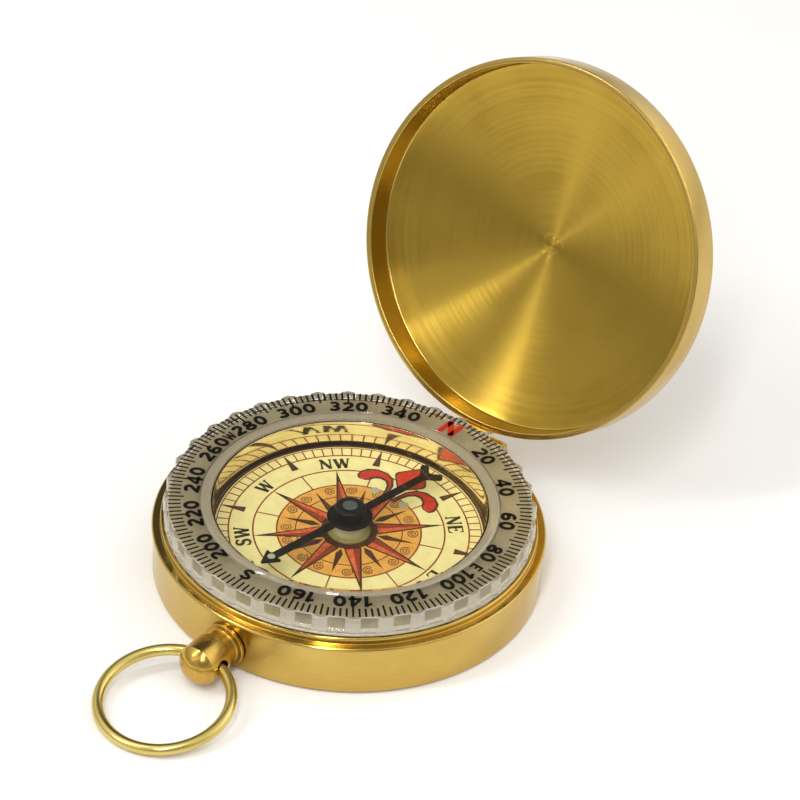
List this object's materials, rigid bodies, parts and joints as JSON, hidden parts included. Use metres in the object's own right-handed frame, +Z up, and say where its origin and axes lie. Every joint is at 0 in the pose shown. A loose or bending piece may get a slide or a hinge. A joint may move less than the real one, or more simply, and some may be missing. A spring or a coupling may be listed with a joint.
{
  "type": "pocket compass",
  "caption": "Round brass pocket compass with a hinged lid, a turning clear bezel, a free needle over a printed dial and a bow ring on a pendant stem.",
  "frame": {"origin": "centre of the case's flat underside, where it stands on the table", "axes": "+Z up through the needle's pivot, +Y towards the lid hinge, -Y towards the pendant and bow ring, +X along the hinge pin"},
  "size_m": [0.05, 0.0949, 0.0534],
  "materials": {
    "polished_brass": "polished",
    "turned_brass": "circular brushed inside, polished outside",
    "pale_brass": "bright drawn wire",
    "clear_acrylic": "clear polished",
    "printed_card": "printed and varnished",
    "grey_film": "satin print",
    "olive_plastic": "gloss",
    "black_needle": "black gloss lacquer",
    "black_plastic": "black gloss",
    "lume_paint": "matt luminous paint",
    "pivot_steel": "ground",
    "magnet": "sintered",
    "jewel": "polished"
  },
  "bodies": {
    "case": {"case_body": "polished_brass", "inner_cup": "polished_brass", "dial_card": "printed_card", "dial_boss": "olive_plastic", "dial_lume_dots": "lume_paint", "pivot_pin": "pivot_steel", "lens": "clear_acrylic", "case_hinge_leaf": "polished_brass", "hinge_pin": "polished_brass", "pendant": "polished_brass", "pendant_nut": "polished_brass"},
    "lid": {"lid_shell": "turned_brass", "lid_hinge_leaf": "polished_brass"},
    "bezel": {"bezel_ring": "clear_acrylic", "scale_backing": "grey_film"},
    "needle": {"needle_blade": "black_needle", "needle_cap": "black_plastic", "needle_magnet": "magnet", "needle_jewel": "jewel", "needle_lume_hub": "lume_paint", "needle_lume_tip": "lume_paint"},
    "bow": {"bow_ring": "pale_brass"}
  },
  "joints": [
    {"name": "lid_hinge", "type": "hinge", "parent": "case", "child": "lid", "pos_m": [0, 0.0261, 0.0063], "axis": [1, 0, 0], "range_deg": [0, 111.5]},
    {"name": "bezel_turn", "type": "hinge", "parent": "case", "child": "bezel", "pos_m": [0, 0, 0.0095], "axis": [0, 0, 1], "continuous": true},
    {"name": "needle_spin", "type": "hinge", "parent": "case", "child": "needle", "pos_m": [0, 0, 0.008], "axis": [0, 0, 1], "continuous": true},
    {"name": "bow_swing", "type": "hinge", "parent": "case", "child": "bow", "pos_m": [0, -0.02872, 0.0032], "axis": [-1, 0, 0], "range_deg": [0, 120]}
  ]
}
